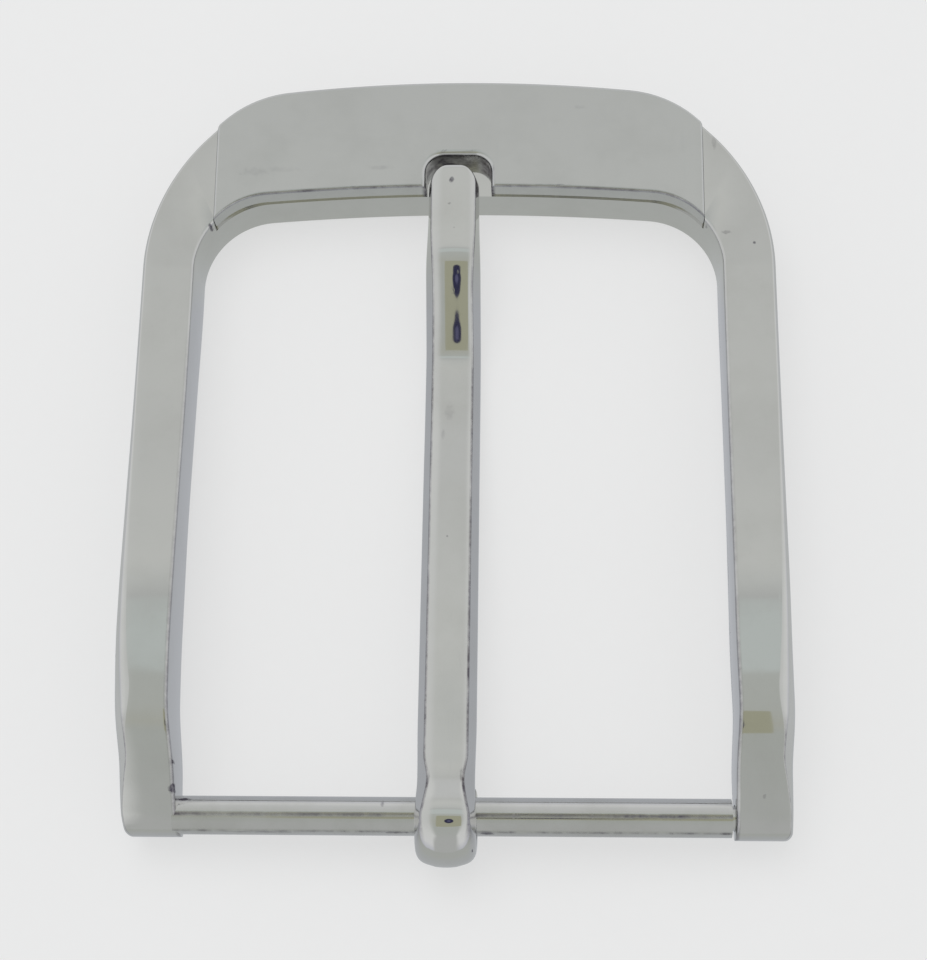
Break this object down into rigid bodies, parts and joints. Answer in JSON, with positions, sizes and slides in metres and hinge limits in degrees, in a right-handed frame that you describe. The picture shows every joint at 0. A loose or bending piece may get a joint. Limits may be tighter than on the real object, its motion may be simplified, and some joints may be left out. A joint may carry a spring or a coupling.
{
  "type": "belt buckle",
  "caption": "Gentleman's belt buckle in polished nickel: a square-cornered cast frame with a plated head rail, a heel bar and a loose prong for a dress strap.",
  "frame": {"origin": "centre of the bounding box on the plane that the buckle's back lies on", "axes": "+Z out of the front that shows when worn, +Y from the heel bar towards the head where the prong lands, +X to the right seen from the front"},
  "size_m": [0.0438, 0.0548, 0.0066],
  "materials": {
    "frame": "polished nickel over a die casting, lightly worn",
    "head_plate": "polished nickel, lightly worn",
    "heel_bar": "nickel, slightly duller than the frame",
    "prong": "polished nickel, lightly worn"
  },
  "bodies": {
    "buckle_frame": {"frame": "frame", "head_plate": "head_plate", "heel_bar": "heel_bar"},
    "prong": {"prong": "prong"}
  },
  "joints": [
    {"name": "prong_swing", "type": "hinge", "parent": "buckle_frame", "child": "prong", "pos_m": [0, -0.02414, 0.00305], "axis": [1, 0, 0], "range_deg": [0, 353]}
  ]
}
